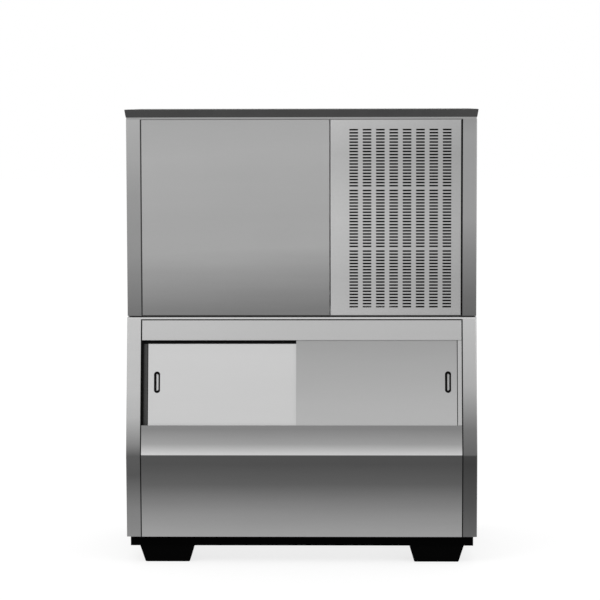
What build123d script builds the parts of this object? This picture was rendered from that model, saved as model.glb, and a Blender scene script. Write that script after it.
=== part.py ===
from build123d import *

import math
import os

# An ice maker head on a storage bin with a slanted front and two sliding doors.
# Millimetres, +Z up, the front towards -Y and the viewer's right towards +X.
# The origin is on the floor, below the middle of the overall box.

# Cabinet
cabinet_width = 1219.0
head_depth = 650.0
sheet = 1.5
fit = 0.5
hole_play = 0.2
bend_radius = 4.0
edge_radius = 2.0
post_width = 48.5
rear_return = 20.0
seam = 4.0

# Heights, from the floor up
foot_height = 61.0
base_height = 33.0
apron_rise = 287.0
slope_rise = 467.0
top_lip = 6.5
gasket_height = 3.5
head_height = 685.0
rail_height = 7.0
cover_height = 27.5

# How far the bin's front stands ahead of the head's, and the fittings behind the rear
crease_reach = 106.0
ledge_reach = 16.0
toe_reach = 94.0
fitting_reach = 20.0

# Slanted front, measured up the slope from the crease
sill_height = 104.5
mouth_height = 297.0
header_height = 71.0
panel_return = 5.0

# Base and feet
base_inset = 12.5
base_rail = 60.0
base_wall = 3.0
foot_setback = 139.5
foot_top_width = 190.0
foot_bottom_width = 154.0
foot_top_depth = 130.0
foot_bottom_depth = 96.0
foot_corner = 5.0
foot_bolt_bore = 6.0
foot_bolt_sink = 14.0
foot_sink_depth = 25.0
foot_margin = 5.0

# Bin liner and door surround
foam = 45.0
foam_front = 28.0
foam_top = 40.0
surround_bottom = 40.0
surround_side = 55.0
surround_depth = 29.0
mouth_lip = 8.0

# Doors and their tracks
door_width = 559.0
door_thickness = 8.0
door_play = 2.5
door_lift = 0.3
groove_play = 0.8
track_wall = 1.6
track_height = 14.0
track_drop = 13.0
track_floor = 5.0
jamb_width = 14.5
jamb_face_width = 14.0
jamb_lead = 2.0

# Door pulls
pull_width = 20.5
pull_height = 74.0
pull_rim = 5.5
pull_proud = 0.6
pull_depth = 6.0
pull_inset = 31.0
pull_level = 256.0
pull_fit = 0.2

# Head panels
head_return = 15.0
panel_gap = 1.0
split_x = 99.0
cover_flare = 4.5
cover_lap = 0.5
cover_sheet = 2.0
rail_inset = 1.0
rail_width = 25.0
pan_flange = 25.0
gasket_width = 18.0
gasket_inset = 6.0
bulkhead_flange = 12.0

# Louvre slots
slot_columns = 8
slot_groups = 3
slots_per_group = 19
slot_length = 30.0
slot_height = 5.6
slot_pitch_x = 46.3
slot_pitch_z = 10.8
slot_group_pitch = 211.0
louvre_shift = 16.0
lowest_slot = 29.0

# Ice chute through the head's floor and the bin's top
chute_left_margin = 41.0
chute_right_margin = 19.0
chute_front = 68.0
chute_depth = 200.0
chute_step = 8.0

# Condenser and fan
coil_side_gap = 28.0
coil_height = 620.0
coil_depth = 50.0
coil_setback = 45.0
coil_lift = 28.0
coil_plate = 2.0
coil_plate_margin = 5.0
coil_plate_rise = 10.0
fin_grooves = 30
fin_groove_depth = 12.0
return_bends = 4
return_bend_radius = 12.0
coil_tube_radius = 5.0
shroud_depth = 60.0
shroud_hole = 165.0
shroud_ring = 30.0
fan_radius = 157.0
fan_height = 340.0
fan_setback = 20.0
hub_radius = 32.0
hub_length = 30.0
blade_count = 4
blade_pitch = 26.0
blade_sheet = 2.0
blade_root = (-20.0, 22.0)
blade_tip = (-44.0, 40.0)
blade_overlap = 8.0
shaft_radius = 5.0
shaft_play = 0.05
motor_radius = 42.0
motor_length = 70.0
motor_gap = 12.0
bracket_sheet = 3.0
bracket_height = 40.0
bracket_play = 12.0

# Compressor
compressor_side = 179.5
compressor_back = 170.0
compressor_radius = 85.0
compressor_height = 235.0
compressor_port = 40.0
port_level = 0.7
shell_taper = 5.0
shell_taper_height = 12.0
shell_shoulder = 0.75
shell_dome = 0.92
shell_dome_radius = 0.8
grommet_height = 23.5
grommet_radius = 13.0
grommet_bore = 4.0
grommet_spacing = 180.0
foot_plate = 220.0
foot_plate_sheet = 4.0

# Copper lines
line_radius = 6.0
fine_line_radius = 4.0
line_bend = 25.0
line_play = 3.0
line_setback = 30.0
fine_line_bend = 18.0
expansion_offset = 40.0
drier_radius = 22.0
drier_length = 130.0
drier_height = 70.0
drier_cone = 22.0
drier_gap = 0.3
drier_lead = 30.0
neck_wall = 1.0
line_gap = 18.0
hot_line_rise = 190.0
suction_offset = 130.0

# Evaporator
cell_columns = 10
cell_rows = 8
evaporator_left = 178.5
evaporator_height = 360.0
evaporator_depth = 28.0
evaporator_right = 88.0
evaporator_back = 317.0
evaporator_lift = 190.0
cell_wall = 3.0
coil_runs = 4
flat_tube_width = 14.0
flat_tube_depth = 13.0
run_margin = 20.0
bend_margin = 15.0

# Water circuit
cheek_sheet = 14.0
cheek_lead = 12.0
cheek_drop = 30.0
cheek_foot = 12.0
cheek_heel = 20.0
cheek_skin = 2.0
bridge_height = 15.0
bridge_reach = 25.0
cheek_top = 70.0
trough_wall = 4.0
trough_height = 92.0
trough_depth = 130.0
trough_left = 110.0
trough_right = 78.0
trough_lead = 20.0
curtain_sheet = 4.0
curtain_gap = 46.0
curtain_drop = 480.0
curtain_play = 2.0
curtain_lip = 8.0
curtain_lip_depth = 4.0
hinge_rise = 40.0
barrel_wall = 2.0
pin_radius = 4.0
pin_play = 0.05
pin_length = 10.0
distributor_radius = 11.0
distributor_bore = 8.0
distributor_slots = 9
distributor_slot = 5.0
distributor_slot_half = 2.0
distributor_end = 3.0
distributor_gap = 0.3
distributor_rise = 20.0
distributor_stub = 8.0
riser_run = 5.0
riser_bend = 30.0
pump_radius = 35.0
pump_height = 90.0
impeller_radius = 20.0
pump_offset = 10.0
pump_margin = 12.0
pump_plate_gap = 1.0
impeller_lift = 12.0
valve_width = 35.0
valve_depth = 30.0
valve_height = 40.0
valve_overhang = 10.0
valve_port = 0.6
ear_sheet = 6.0
ear_half = 8.0
pivot_lead = 8.0
pivot_rise = 16.0
arm_play = 1.0
float_radius = 20.0
float_height = 26.0
float_clearance = 15.0
float_arm_length = 55.0
float_arm_section = 5.0
inlet_radius = 7.0
inlet_bore = 4.5
inlet_flange = 14.0
drain_radius = 13.0
drain_bore = 9.5
drain_flange = 20.0
drain_lift = 12.0
flange_sheet = 4.0

# Bin drain
bin_drain_bore = 12.1
bin_drain_depth = 18.0
bin_drain_passage = 9.5
bin_drain_radius = 17.0
bin_drain_flange = 26.0
bin_drain_lift = 20.0

# Controls and cable entry
box_width = 120.0
box_height = 250.0
box_depth = 85.0
box_sheet = 2.0
box_lift = 380.0
lever_length = 16.0
lever_radius = 3.0
lever_throw = 8.0
lever_pin_radius = 2.0
lever_pin_length = 16.0
lever_sink = 6.0
lever_play = 2.5
lug_sheet = 3.0
lug_size = 10.0
gland_radius = 14.0
gland_nut = 19.0
gland_bore = 5.0
gland_level = 60.0
gland_inset = 90.0
gland_tail = 12.0
gland_short = 4.0
gland_flange = 6.0

# Rear air outlet
outlet_slots = 11
outlet_width = 330.0
outlet_slot_height = 14.0
outlet_pitch = 28.0

# Levels
base_z = foot_height
floor_z = base_z + base_height
crease_z = floor_z + apron_rise
side_top_z = crease_z + slope_rise
ledge_z = side_top_z + top_lip
head_z = ledge_z + gasket_height
rail_z = head_z + head_height
cover_z = rail_z + rail_height
top_z = cover_z + cover_height

# Planes across the cabinet
half_width = cabinet_width / 2
overall_depth = crease_reach + head_depth + fitting_reach
back_y = overall_depth / 2
rear_y = back_y - fitting_reach
head_front_y = rear_y - head_depth
crease_y = head_front_y - crease_reach
ledge_y = head_front_y - ledge_reach
toe_y = head_front_y - toe_reach
inside_x = half_width - sheet - fit
panel_x = half_width - post_width - seam
foot_offset = half_width - foot_setback
rear_panel_y = rear_y - 2 * sheet
inner_rear_y = rear_panel_y - fit
pan_front_y = head_front_y + head_return + fit

# The slanted front: up its face, and depth behind it
lean = math.atan2(crease_reach - ledge_reach, ledge_z - crease_z)
tuck = math.atan2(crease_reach - toe_reach, apron_rise)
slope = Plane(
    origin=(0, crease_y, crease_z),
    x_dir=(1, 0, 0),
    z_dir=(0, -math.cos(lean), math.sin(lean)),
)
head_plane = Plane(origin=(0, head_front_y, head_z), x_dir=(1, 0, 0), z_dir=(0, -1, 0))
mouth_top = sill_height + mouth_height
header_top = mouth_top + header_height
mouth_x = inside_x - surround_side
groove = door_thickness + 2 * groove_play
front_door_depth = panel_return + track_wall + groove_play
rear_door_depth = front_door_depth + groove + track_wall
track_depth = 3 * track_wall + 2 * groove
lower_track_top = sill_height - sheet - fit
lower_track_bottom = lower_track_top - track_height
upper_track_bottom = mouth_top + sheet + fit
upper_track_top = upper_track_bottom + track_height
door_bottom = lower_track_bottom + track_floor + door_lift
door_top = upper_track_top - track_floor + 2 * door_lift
left_stop_x = -mouth_x + jamb_width
right_stop_x = panel_x - jamb_face_width
left_door_x = left_stop_x + door_play
right_door_x = right_stop_x - door_play - door_width

# Places inside the head
pan_top_z = head_z + sheet
coil_front_y = head_front_y + coil_setback
coil_back_y = coil_front_y + coil_depth
slots_centre_x = (split_x + panel_x) / 2 + louvre_shift
coil_width = panel_x - split_x - coil_side_gap
coil_left = slots_centre_x - coil_width / 2
coil_right = slots_centre_x + coil_width / 2
coil_z = head_z + coil_lift
shroud_back_y = coil_back_y + coil_plate_margin + shroud_depth
fan_z = head_z + fan_height
fan_front_y = shroud_back_y + fan_setback
motor_front_y = fan_front_y + hub_length + motor_gap + bracket_sheet
compressor_x = half_width - compressor_side
compressor_y = rear_y - compressor_back
plate_z = pan_top_z + grommet_height
shell_z = plate_z + foot_plate_sheet
evaporator_x0 = -inside_x + evaporator_left
evaporator_x1 = split_x - evaporator_right
evaporator_width = evaporator_x1 - evaporator_x0
evaporator_y1 = rear_y - evaporator_back
evaporator_y0 = evaporator_y1 - evaporator_depth
evaporator_z = head_z + evaporator_lift
evaporator_top = evaporator_z + evaporator_height
flat_tube_y = evaporator_y1 + flat_tube_depth / 2
run_pitch = (evaporator_height - 2 * run_margin) / (coil_runs - 1)
first_run_z = evaporator_z + run_margin
last_run_z = first_run_z + (coil_runs - 1) * run_pitch
trough_top = pan_top_z + trough_height
trough_x0 = evaporator_x0 - trough_left - cheek_sheet
trough_x1 = evaporator_x1 + trough_right
trough_y0 = evaporator_y0 - trough_lead
trough_y1 = trough_y0 + trough_depth
hinge_y = evaporator_y0 - curtain_gap
hinge_z = evaporator_top + hinge_rise
chute_left = evaporator_x0 - chute_left_margin
chute_right = evaporator_x1 + chute_right_margin
chute_y0 = head_front_y + chute_front
chute_y1 = chute_y0 + chute_depth
distributor_z = evaporator_top + distributor_rise
distributor_y = evaporator_y0 + distributor_radius
distributor_x0 = evaporator_x0 - cheek_sheet - distributor_stub
riser_x = distributor_x0 - riser_bend - riser_run
drier_x = split_x + sheet / 2 + drier_radius + drier_gap
drier_y1 = compressor_y + drier_lead
drier_z = pan_top_z + drier_height
line_x = half_width - sheet - line_gap
hot_line_z = shell_z + compressor_height + hot_line_rise


def block(x0, x1, y0, y1, z0, z1):
    """A block between two corners."""
    centre = Pos((x0 + x1) / 2, (y0 + y1) / 2, (z0 + z1) / 2)
    return centre * Box(x1 - x0, y1 - y0, z1 - z0)


def on_slope(x0, x1, s0, s1, depth0, depth1):
    """A block on the slanted front: across, up the slope, and depth behind its face."""
    return slope * block(x0, x1, s0, s1, -depth1, -depth0)


def toe_point(rise, depth):
    """(y, z) at a height up the lower front and a depth behind it."""
    y = toe_y - rise * math.sin(tuck) + depth * math.cos(tuck)
    return y, floor_z + rise * math.cos(tuck) + depth * math.sin(tuck)


def crease_point(depth):
    """(y, z) of the crease at a depth behind both faces that meet there."""
    reach = depth / math.cos((lean + tuck) / 2)
    turn = (lean - tuck) / 2
    return crease_y + reach * math.cos(turn), crease_z - reach * math.sin(turn)


def slope_point(rise, depth):
    """(y, z) at a height up the slanted front and a depth behind it."""
    y = crease_y + rise * math.sin(lean) + depth * math.cos(lean)
    return y, crease_z + rise * math.cos(lean) - depth * math.sin(lean)


def front_y(z, depth=0.0):
    """Where the bin's front, or a layer behind it, stands at a height."""
    y, bend_z = crease_point(depth)
    if z < bend_z:
        return y + (bend_z - z) * math.tan(tuck)
    return y + (z - bend_z) * math.tan(lean)


def bin_outline(front, rear, z0, z1):
    """The bin's side outline, a depth in from its front, up to a rear plane."""
    return [
        (rear, z0),
        (front_y(z0, front), z0),
        crease_point(front),
        (front_y(z1, front), z1),
        (rear, z1),
    ]


def prism(outline, x0, x1):
    """A prism across the cabinet from an outline of (y, z) points."""
    face = make_face(Polyline(*[(x0, y, z) for y, z in outline], close=True))
    return extrude(face, amount=x1 - x0, dir=(1, 0, 0))


def rod(start, end, radius, bore=0.0):
    """A round bar or tube between two points."""
    run = Vector(*end) - Vector(*start)
    plane = Plane(origin=start, z_dir=run)
    solid = extrude(plane * Circle(radius), amount=run.length)
    if bore:
        solid -= extrude(plane * Circle(bore), amount=run.length)
    return solid


def pipe(points, radius, bend, bore=0.0):
    """A bent tube along straight runs with round corners."""
    path = FilletPolyline(*points, radius=bend)
    end = Plane(origin=path @ 0, z_dir=path % 0)
    section = end * Circle(radius)
    if bore:
        section -= end * Circle(bore)
    return sweep(section, path=path)


def round_front_edges(solid, x, radius):
    """Rounds the edges that climb a side panel's front."""
    edges = [
        edge
        for edge in solid.edges()
        if abs(edge.center().X - x) < 0.01
        and edge.center().Y < head_front_y + 1 + sheet
        and abs((edge % 0.5).Z) > 0.5
    ]
    return fillet(edges, radius)


def folded_side(outer, inner, z0, z1):
    """A side panel bent from one sheet: front post, flat side and rear return."""
    solid = round_front_edges(outer, -half_width, bend_radius)
    solid -= round_front_edges(inner, -half_width + sheet, bend_radius - sheet)
    trim_x = -half_width + rear_return
    solid -= block(trim_x, 0, rear_y - 2 * sheet, rear_y + 1, z0 - 1, z1 + 1)
    return solid


def bin_side():
    """The bin's left side, which follows the slanted front."""
    x0 = -half_width
    x1 = x0 + post_width
    outer = prism(bin_outline(0, rear_y, floor_z, side_top_z), x0, x1)
    inside = bin_outline(sheet, rear_y - sheet, floor_z - 1, side_top_z + 1)
    inner = prism(inside, x0 + sheet, x1 + 1)
    return folded_side(outer, inner, floor_z, side_top_z)


def head_side():
    """The head's left side."""
    x0 = -half_width
    x1 = x0 + post_width
    outer = block(x0, x1, head_front_y, rear_y, head_z, rail_z)
    inner = block(
        x0 + sheet, x1 + 1, head_front_y + sheet, rear_y - sheet, head_z - 1, rail_z + 1
    )
    return folded_side(outer, inner, head_z, rail_z)


def tray(plane, x0, x1, h0, h1, depth):
    """A sheet panel with its four edges folded back."""
    shell = block(x0, x1, h0, h1, -depth, 0)
    shell = fillet(shell.faces().sort_by(Axis.Z)[-1].edges(), edge_radius)
    shell -= block(x0 + sheet, x1 - sheet, h0 + sheet, h1 - sheet, -depth - 1, -sheet)
    return plane * shell


def front_apron():
    """Sill and lower front, folded from one sheet at the crease."""
    fold = [
        toe_point(0, 0),
        crease_point(0),
        slope_point(sill_height, 0),
        slope_point(sill_height, panel_return),
        crease_point(panel_return),
        toe_point(0, panel_return),
    ]
    past = panel_return + 1
    hollow = [
        toe_point(sheet, sheet),
        crease_point(sheet),
        slope_point(sill_height - sheet, sheet),
        slope_point(sill_height - sheet, past),
        crease_point(past),
        toe_point(sheet, past),
    ]
    solid = prism(fold, -panel_x, panel_x)
    return solid - prism(hollow, -panel_x + sheet, panel_x - sheet)


def door_surround():
    """The moulded frame that the doors, tracks and front panels are fixed to."""
    depth = panel_return + surround_depth
    frame = on_slope(-inside_x, inside_x, surround_bottom, header_top, panel_return, depth)
    return frame - on_slope(
        -mouth_x, mouth_x, lower_track_bottom, upper_track_top, panel_return - 1, depth + 1
    )


def bin_liner():
    """The foam-backed liner, open at the mouth and under the ice chute."""
    z0 = floor_z + sheet
    z1 = ledge_z - sheet
    front = panel_return + surround_depth
    outer = bin_outline(front, inner_rear_y, z0, z1)
    inner = bin_outline(front + foam_front, inner_rear_y - foam, z0 + foam, z1 - foam_top)
    solid = prism(outer, -inside_x, inside_x)
    solid -= prism(inner, -inside_x + foam, inside_x - foam)
    solid -= on_slope(
        -mouth_x + mouth_lip,
        mouth_x - mouth_lip,
        sill_height + mouth_lip,
        mouth_top - mouth_lip,
        front - 1,
        front + foam_front + 1,
    )
    solid -= chute(z1 - foam_top - 1, z1 + 1, 2 * chute_step)
    return solid - bin_drain_bore_cut(bin_drain_radius + hole_play)


def chute(z0, z1, grow):
    """The ice passage between two levels, wider by a step on each side."""
    return block(
        chute_left - grow, chute_right + grow, chute_y0 - grow, chute_y1 + grow, z0, z1
    )


def bin_drain_z():
    """The level of the bin drain's axis, just above the liner's floor."""
    return floor_z + sheet + foam + bin_drain_lift


def bin_drain_bore_cut(radius):
    """The clearance hole for the bin drain, through the rear wall."""
    z = bin_drain_z()
    return rod((0, inner_rear_y - foam - 1, z), (0, back_y + 1, z), radius)


def track_block(s0, s1):
    """The outer block of a door track, between two levels up the slope."""
    depth = panel_return + track_depth
    return on_slope(-mouth_x, mouth_x, s0, s1, panel_return, depth)


def track_groove(depth0, s0, s1):
    """One groove of a track, open at the ends."""
    return on_slope(-mouth_x - 1, mouth_x + 1, s0, s1, depth0, depth0 + groove)


def lower_track():
    """Two grooves that carry the doors' lower edges."""
    solid = track_block(lower_track_bottom, lower_track_top)
    for depth in (front_door_depth, rear_door_depth):
        floor_level = lower_track_bottom + track_floor
        solid -= track_groove(depth - groove_play, floor_level, lower_track_top + 1)
    return solid


def upper_track():
    """Two grooves that hold the doors' upper edges; its inner fins hang lower."""
    low = upper_track_bottom - track_drop
    solid = track_block(low, upper_track_top)
    front_end = front_door_depth - groove_play
    solid -= on_slope(
        -mouth_x - 1, mouth_x + 1, low - 1, upper_track_bottom, panel_return - 1, front_end
    )
    for depth in (front_door_depth, rear_door_depth):
        roof = upper_track_top - track_floor + 3 * door_lift
        solid -= track_groove(depth - groove_play, low - 1, roof)
    return solid


def left_jamb():
    """The dark closing strip behind the left door's outer edge."""
    x0 = -mouth_x
    low = lower_track_top + fit
    high = upper_track_bottom - track_drop - fit
    depth0 = rear_door_depth - jamb_lead
    depth1 = panel_return + track_depth
    return on_slope(x0, left_stop_x, low, high, depth0, depth1)


def right_jamb():
    """The bright angle strip beside the right door."""
    low = sill_height + fit
    high = mouth_top - fit
    face = on_slope(
        right_stop_x, panel_x, low, high, panel_return - sheet, panel_return
    )
    leg_end = panel_return + track_depth
    leg_high = upper_track_bottom - track_drop - fit
    return face + on_slope(
        mouth_x - sheet, mouth_x, low, leg_high, panel_return - sheet, leg_end
    )


def pull_slot(x, width, height, depth0, depth1):
    """An upright slot with round ends, set into the slanted front."""
    outline = Rot(0, 0, 90) * SlotOverall(height, width)
    face = slope * Pos(x, pull_level, -depth0) * outline
    return extrude(face, amount=depth1 - depth0, dir=-slope.z_dir)


def door(x0, depth, pull_x):
    """A sliding door with a pocket for its pull."""
    solid = on_slope(x0, x0 + door_width, door_bottom, door_top, depth, depth + door_thickness)
    pocket = pull_depth - pull_proud
    return solid - pull_slot(
        pull_x, pull_width + 2 * pull_fit, pull_height + 2 * pull_fit, depth - 1, depth + pocket
    )


def door_pull(depth, pull_x):
    """The oblong ring pressed into a door's pocket."""
    top = depth - pull_proud
    ring = pull_slot(pull_x, pull_width, pull_height, top, top + pull_depth)
    return ring - pull_slot(
        pull_x,
        pull_width - 2 * pull_rim,
        pull_height - 2 * pull_rim,
        top - 1,
        top + pull_depth + 1,
    )


def header_panel():
    """The panel above the doors."""
    return tray(slope, -panel_x, panel_x, mouth_top, header_top, panel_return)


def bin_top_frame():
    """The bin's folded top, with the ice chute's opening."""
    solid = block(-half_width, half_width, ledge_y, rear_y, side_top_z, ledge_z)
    upper = solid.faces().sort_by(Axis.Z)[-1]
    solid = fillet(upper.edges().sort_by(Axis.Y)[0], bend_radius - sheet)
    solid -= block(
        -half_width + sheet,
        half_width - sheet,
        ledge_y + sheet,
        rear_y - sheet,
        side_top_z - 1,
        ledge_z - sheet,
    )
    return solid - chute(side_top_z - 1, ledge_z + 1, chute_step)


def bin_rear_panel():
    """The flat rear of the bin, behind the side panels' returns."""
    solid = block(
        -inside_x, inside_x, rear_panel_y, rear_panel_y + sheet, floor_z, side_top_z
    )
    return solid - bin_drain_bore_cut(bin_drain_radius + hole_play)


def bin_floor_pan():
    """The sheet floor under the liner."""
    y0 = front_y(floor_z, panel_return) + fit
    return block(-inside_x, inside_x, y0, inner_rear_y, floor_z, floor_z + sheet)


def base_frame():
    """A ring of channel, open towards the middle, that carries the bin."""
    x1 = half_width - base_inset
    y0 = toe_y + base_inset
    y1 = rear_y - sheet
    solid = block(-x1, x1, y0, y1, base_z, floor_z)
    x2 = x1 - base_rail
    solid -= block(
        -x2, x2, y0 + base_rail, y1 - base_rail, base_z - 1, floor_z + 1
    )
    x3 = x1 - base_wall
    return solid - block(
        -x3, x3, y0 + base_wall, y1 - base_wall, base_z + base_wall, floor_z - base_wall
    )


def foot_centres():
    """Where the four feet stand, by name."""
    margin = foot_top_depth / 2 + foot_margin
    front = toe_y + base_inset + margin
    rear = rear_y - sheet - margin
    return {
        "foot_front_left": (-foot_offset, front),
        "foot_front_right": (foot_offset, front),
        "foot_rear_left": (-foot_offset, rear),
        "foot_rear_right": (foot_offset, rear),
    }


def foot(x, y):
    """A moulded foot that tapers to the floor, with a sunk bolt hole."""
    top = foot_top_width / 2
    bottom = foot_bottom_width / 2
    outline = make_face(
        Polyline((-bottom, 0), (bottom, 0), (top, foot_height), (-top, foot_height), close=True)
    )
    outline = fillet(outline.vertices().sort_by(Axis.Y)[:2], foot_corner)
    solid = extrude(Plane.XZ * outline, amount=foot_top_depth / 2, both=True)
    for side in (-1, 1):
        y_top = side * foot_top_depth / 2
        y_floor = side * foot_bottom_depth / 2
        wedge = [(y_top, foot_height), (y_floor, 0), (y_floor, -1), (y_top + side, -1)]
        solid -= prism(wedge + [(y_top + side, foot_height)], -top - 1, top + 1)
    solid -= rod((0, 0, -1), (0, 0, foot_height + 1), foot_bolt_bore)
    solid -= rod((0, 0, -1), (0, 0, foot_sink_depth), foot_bolt_sink)
    return Pos(x, y, 0) * solid


def head_gasket():
    """The foam strip that seals the head to the bin's top."""
    x1 = half_width - gasket_inset
    y0 = head_front_y + gasket_inset
    y1 = rear_y - gasket_inset
    solid = block(-x1, x1, y0, y1, ledge_z, head_z)
    x2 = x1 - gasket_width
    return solid - block(
        -x2, x2, y0 + gasket_width, y1 - gasket_width, ledge_z - 1, head_z + 1
    )


def head_base_pan():
    """The head's floor with its edges turned up and the ice chute cut out."""
    solid = block(-inside_x, inside_x, pan_front_y, inner_rear_y, head_z, head_z + pan_flange)
    solid -= block(
        -inside_x + sheet,
        inside_x - sheet,
        pan_front_y + sheet,
        inner_rear_y - sheet,
        pan_top_z,
        head_z + pan_flange + 1,
    )
    solid -= rod(
        (drain_x(), inner_rear_y - sheet - 1, drain_z()),
        (drain_x(), rear_y, drain_z()),
        drain_flange + fit,
    )
    return solid - chute(head_z - 1, pan_top_z + 1, 0)


def head_top_rail():
    """The rectangular rail that ties the head's panels under the cover."""
    x1 = half_width - rail_inset
    y0 = head_front_y + rail_inset
    y1 = rear_y - rail_inset
    solid = block(-x1, x1, y0, y1, rail_z, cover_z)
    x2 = x1 - rail_width
    return solid - block(
        -x2, x2, y0 + rail_width, y1 - rail_width, rail_z - 1, cover_z + 1
    )


def cover_section(z, grow):
    """The cover's outline at a level, with its rear edge straight."""
    x1 = half_width + cover_lap + grow
    y0 = head_front_y - cover_lap - grow
    centre = Plane((0, (y0 + rear_y) / 2, z))
    return centre * Rectangle(2 * x1, rear_y - y0)


def top_cover():
    """The shallow flared lid."""
    solid = loft([cover_section(cover_z, 0), cover_section(top_z, cover_flare)], ruled=True)
    solid = fillet(solid.faces().sort_by(Axis.Z)[-1].edges(), edge_radius)
    x1 = half_width + cover_lap - cover_sheet
    y0 = head_front_y - cover_lap + cover_sheet
    y1 = rear_y - cover_sheet
    return solid - block(-x1, x1, y0, y1, cover_z - 1, top_z - cover_sheet)


def louvre_slots():
    """Every slot of the louvred panel, in three groups of rows."""
    left = slots_centre_x - (slot_columns - 1) * slot_pitch_x / 2 - slot_length / 2
    slots = []
    for column in range(slot_columns):
        x = left + column * slot_pitch_x
        for group in range(slot_groups):
            for row in range(slots_per_group):
                h = lowest_slot + group * slot_group_pitch + row * slot_pitch_z
                slots.append(block(x, x + slot_length, h, h + slot_height, -5, 1))
    return slots


def louvre_panel():
    """The slotted panel in front of the condenser."""
    top = head_height - panel_gap
    solid = tray(head_plane, split_x + seam / 2, panel_x, panel_gap, top, head_return)
    return solid - [head_plane * slot for slot in louvre_slots()]


def head_front_panel():
    """The plain front panel."""
    top = head_height - panel_gap
    return tray(head_plane, -panel_x, split_x - seam / 2, panel_gap, top, head_return)


def head_rear_panel():
    """The head's rear, with an air outlet behind the fan and holes for its fittings."""
    solid = block(
        -inside_x, inside_x, rear_panel_y, rear_panel_y + sheet, head_z, rail_z
    )
    x0 = slots_centre_x - outlet_width / 2
    z0 = fan_z - (outlet_slots - 1) * outlet_pitch / 2 - outlet_slot_height / 2
    for index in range(outlet_slots):
        z = z0 + index * outlet_pitch
        solid -= block(
            x0, x0 + outlet_width, rear_panel_y - 1, rear_y, z, z + outlet_slot_height
        )
    holes = [
        (valve_x(), valve_z(), inlet_radius),
        (drain_x(), drain_z(), drain_radius),
        (gland_x(), gland_z(), gland_radius),
    ]
    for x, z, radius in holes:
        solid -= rod((x, rear_panel_y - 1, z), (x, rear_y + 1, z), radius + hole_play)
    return solid


def bulkhead():
    """The wall between the ice side and the refrigeration side, holed for two lines."""
    x0 = split_x - sheet / 2
    y0 = pan_front_y + sheet + fit
    solid = block(x0, x0 + sheet, y0, inner_rear_y - sheet - fit, pan_top_z, rail_z)
    solid += block(x0 - bulkhead_flange, x0 + sheet, y0, y0 + sheet, pan_top_z, rail_z)
    for z, radius in ((first_run_z, line_radius), (last_run_z, fine_line_radius)):
        solid -= rod((x0 - 1, flat_tube_y, z), (x0 + 3, flat_tube_y, z), radius + line_play)
    return solid


def condenser_coil():
    """A finned block between two tube sheets, with return bends on its right."""
    solid = block(
        coil_left + coil_plate, coil_right - coil_plate, coil_front_y, coil_back_y,
        coil_z, coil_z + coil_height,
    )
    inner_width = coil_width - 2 * coil_plate
    pitch = inner_width / fin_grooves
    for index in range(fin_grooves):
        x = coil_left + coil_plate + index * pitch + pitch / 4
        solid -= block(
            x, x + pitch / 2, coil_front_y - 1, coil_front_y + fin_groove_depth,
            coil_z - 1, coil_z + coil_height + 1,
        )
    for x in (coil_left, coil_right - coil_plate):
        solid += block(
            x, x + coil_plate, coil_front_y - coil_plate_margin,
            coil_back_y + coil_plate_margin, pan_top_z, coil_z + coil_height + coil_plate_rise,
        )
    y = coil_front_y + coil_depth / 2
    for index in range(return_bends):
        z = coil_z + coil_height * (index + 1) / (return_bends + 1)
        start = (coil_right - 1, y, z - return_bend_radius)
        path = CenterArc((0, 0), return_bend_radius, -90, 180)
        bend = sweep(Plane.YZ * Circle(coil_tube_radius), path=Pos(0, return_bend_radius) * path)
        solid += Pos(*start) * Rot(90, 0, 0) * bend
    return solid


def fan_shroud():
    """The plenum behind the condenser, with a ring round the fan's opening."""
    y0 = coil_back_y + coil_plate_margin
    z1 = coil_z + coil_height
    solid = block(coil_left, coil_right, y0, shroud_back_y, coil_z, z1)
    solid -= block(
        coil_left + sheet, coil_right - sheet, y0 - 1, shroud_back_y - sheet,
        coil_z + sheet, z1 - sheet,
    )
    centre = (slots_centre_x, fan_z)
    ring_end = shroud_back_y + shroud_ring
    solid += rod(
        (centre[0], shroud_back_y, centre[1]), (centre[0], ring_end, centre[1]),
        shroud_hole + sheet,
    )
    return solid - rod(
        (centre[0], y0 + 1, centre[1]), (centre[0], ring_end + 1, centre[1]), shroud_hole
    )


def fan_bracket():
    """A folded strap from the shroud that carries the fan motor."""
    reach = shroud_hole + bracket_play
    y1 = motor_front_y
    z0 = fan_z - bracket_height / 2
    z1 = fan_z + bracket_height / 2
    x0 = slots_centre_x - reach
    x1 = slots_centre_x + reach
    solid = block(x0, x1, shroud_back_y, y1, z0, z1)
    solid -= block(
        x0 + bracket_sheet, x1 - bracket_sheet, shroud_back_y - 1, y1 - bracket_sheet,
        z0 - 1, z1 + 1,
    )
    start = (slots_centre_x, y1 - bracket_sheet - 1, fan_z)
    return solid - rod(start, (slots_centre_x, y1 + 1, fan_z), 2 * shaft_radius)


def fan_motor():
    """The fan's motor with its shaft, fixed behind the strap."""
    front = (slots_centre_x, motor_front_y, fan_z)
    back = (slots_centre_x, motor_front_y + motor_length, fan_z)
    tip = (slots_centre_x, fan_front_y, fan_z)
    solid = rod(front, back, motor_radius)
    return solid + rod(tip, front, shaft_radius)


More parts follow.
